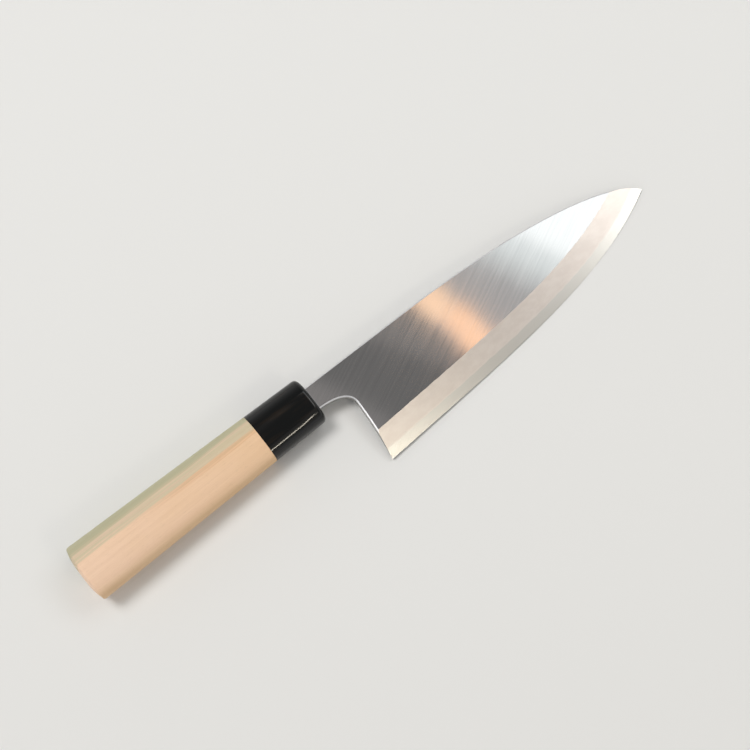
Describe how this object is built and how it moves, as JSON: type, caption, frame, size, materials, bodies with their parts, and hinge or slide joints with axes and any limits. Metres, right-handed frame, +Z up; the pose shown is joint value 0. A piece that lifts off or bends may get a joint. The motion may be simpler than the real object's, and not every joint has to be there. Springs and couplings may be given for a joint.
{
  "type": "kitchen knife",
  "caption": "Japanese style kitchen knife lying on its back face: laminated single-bevel blade with a wide ground bevel, black horn ferrule and D-section wooden handle.",
  "frame": {"origin": "on the surface that the knife lies on, under the middle of its box", "axes": "+X along the knife from the butt to the tip, +Y towards the spine, +Z up out of the bevelled face"},
  "size_m": [0.3198, 0.058, 0.0223],
  "materials": {
    "soft_iron": "bright iron with slanting grinding marks",
    "hard_steel": "whetstone polished steel",
    "horn": "polished black horn",
    "magnolia_wood": "fine sanded pale wood, unvarnished",
    "resin": "dark resin"
  },
  "bodies": {
    "root": {"jigane_body": "soft_iron", "hagane_edge": "hard_steel", "horn_ferrule": "horn", "handle_grip": "magnolia_wood", "tang_seal": "resin"}
  },
  "joints": []
}
